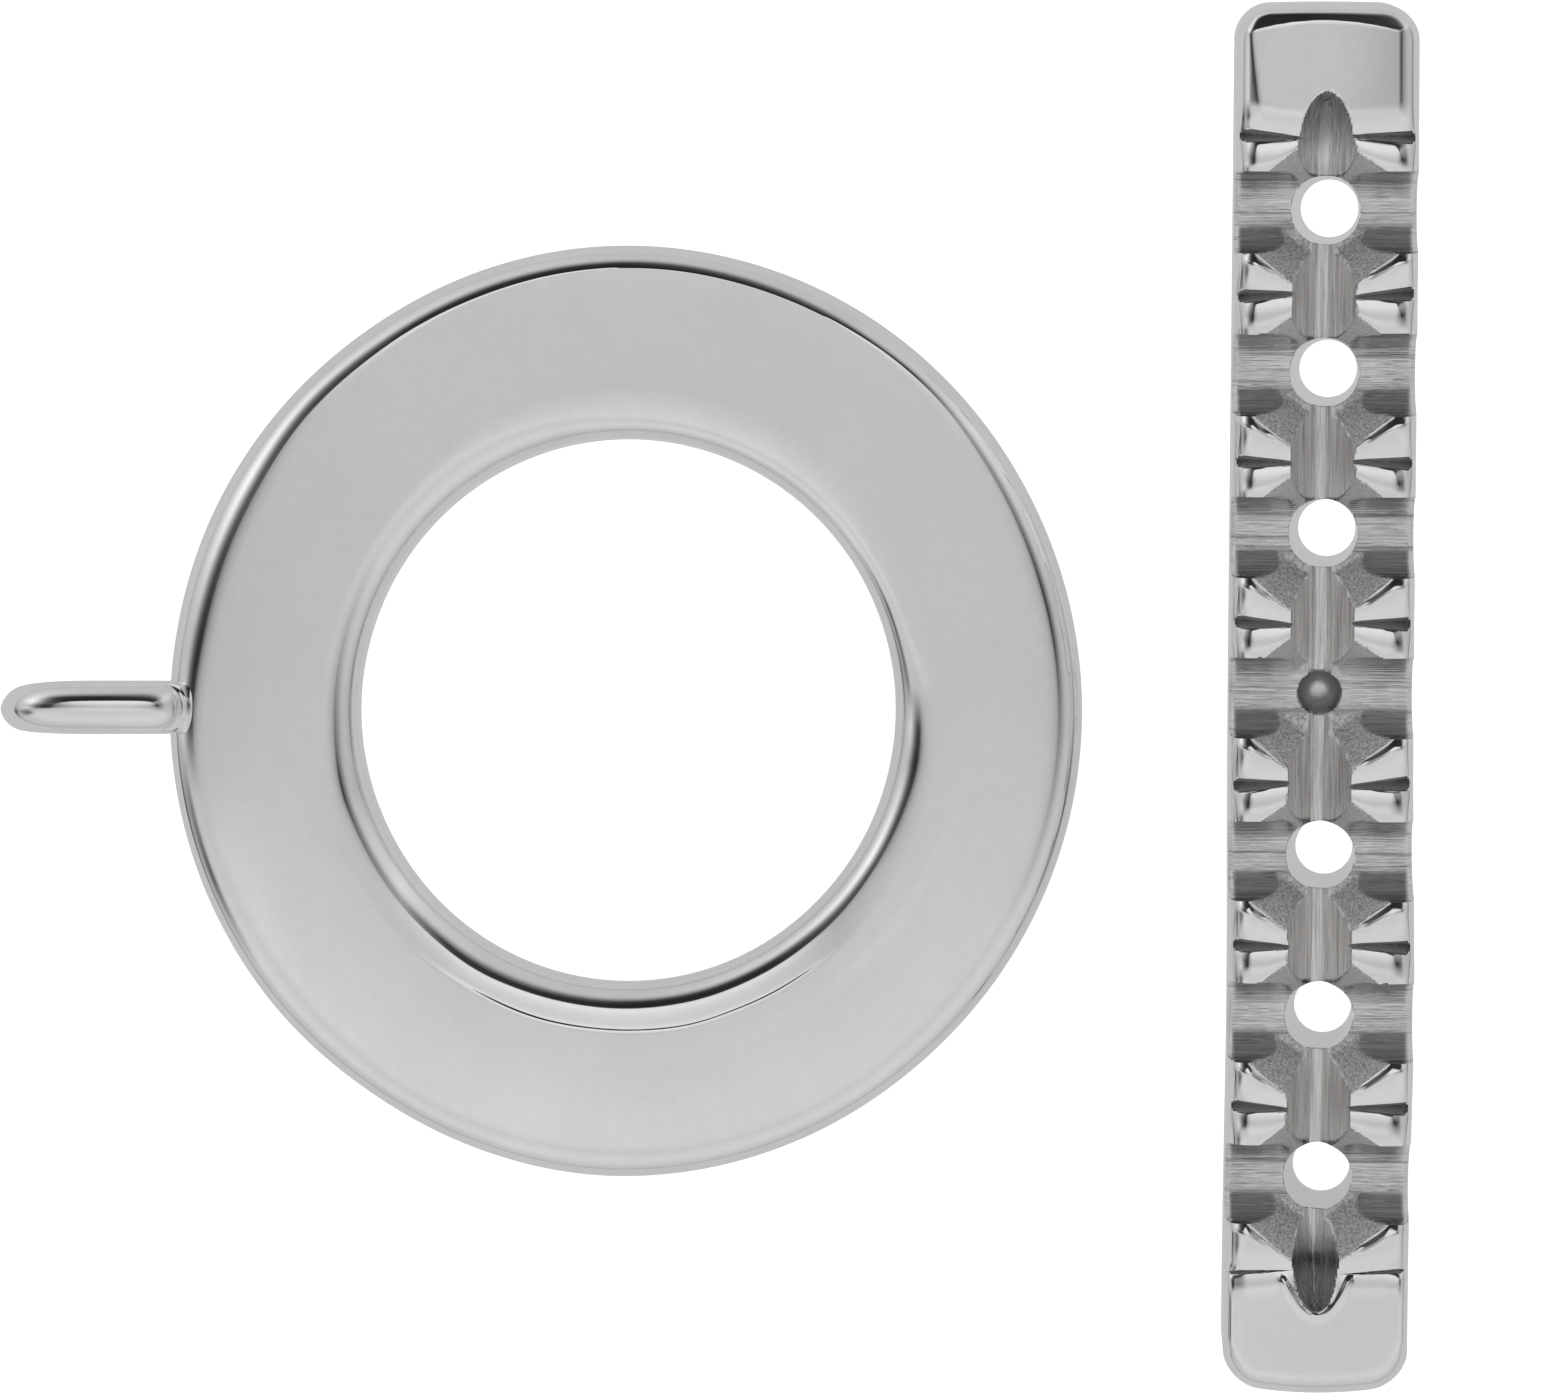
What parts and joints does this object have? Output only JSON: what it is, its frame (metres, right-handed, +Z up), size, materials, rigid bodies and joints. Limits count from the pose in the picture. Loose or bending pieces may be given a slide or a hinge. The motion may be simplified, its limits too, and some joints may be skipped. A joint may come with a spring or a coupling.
{
  "type": "toggle clasp",
  "caption": "Toggle clasp of a flat round ring and a straight bar of empty stone seats with shared prongs, each with a soldered wire eye, lying side by side.",
  "frame": {"origin": "on the surface the clasp lies on, under the middle of the ring and the bar together", "axes": "+Z up, +X from the ring to the bar, +Y along the bar towards its raised end"},
  "size_m": [0.0184, 0.0181, 0.0039],
  "materials": {
    "polished_silver": "polished white metal, duller inside the cut seats and channels"
  },
  "bodies": {
    "root": {"toggle_ring": "polished_silver", "toggle_bar": "polished_silver"}
  },
  "joints": []
}
